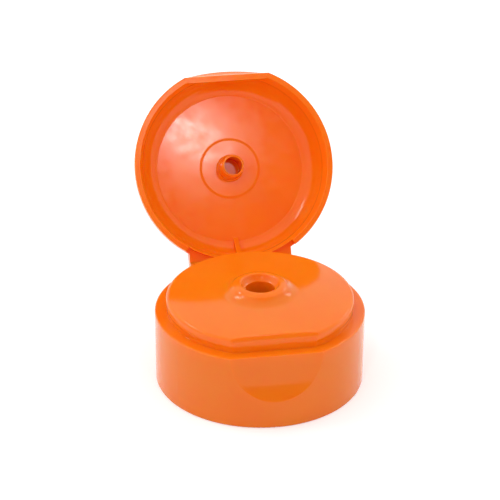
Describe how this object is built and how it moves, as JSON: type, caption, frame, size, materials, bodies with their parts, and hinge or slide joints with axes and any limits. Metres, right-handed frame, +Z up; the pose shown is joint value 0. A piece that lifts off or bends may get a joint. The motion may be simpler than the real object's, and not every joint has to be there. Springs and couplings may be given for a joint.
{
  "type": "flip top cap",
  "caption": "Round screw-on flip top cap with a thumb recess, a domed lid on a double film hinge and a hollow plug that closes the nozzle.",
  "frame": {"origin": "centre of the skirt's foot, on the axis of the neck bore, in the plane on which the cap stands", "axes": "+Z up along the neck bore and the nozzle, -Y towards the thumb recess, +Y towards the hinge, X along the hinge's film lines"},
  "size_m": [0.042, 0.0685, 0.0476],
  "materials": {
    "moulding": "gloss"
  },
  "bodies": {
    "base": {"cap_body": "moulding"},
    "strap": {"hinge_strap": "moulding"},
    "cover": {"lid": "moulding"}
  },
  "joints": [
    {"name": "hinge_lower", "type": "hinge", "parent": "base", "child": "strap", "pos_m": [0, 0.01965, 0.0138], "axis": [-1, 0, 0], "range_deg": [-81.4, 27], "stiffness_Nm_per_rad": 0.0024, "springref_deg": -20},
    {"name": "hinge_upper", "type": "hinge", "parent": "strap", "child": "cover", "pos_m": [0, 0.02262, 0.01425], "axis": [-1, 0, 0], "range_deg": [-40.7, 13.5]}
  ],
  "couplings": [
    {"joint": "hinge_upper", "follows": "hinge_lower", "ratio": 0.5}
  ]
}
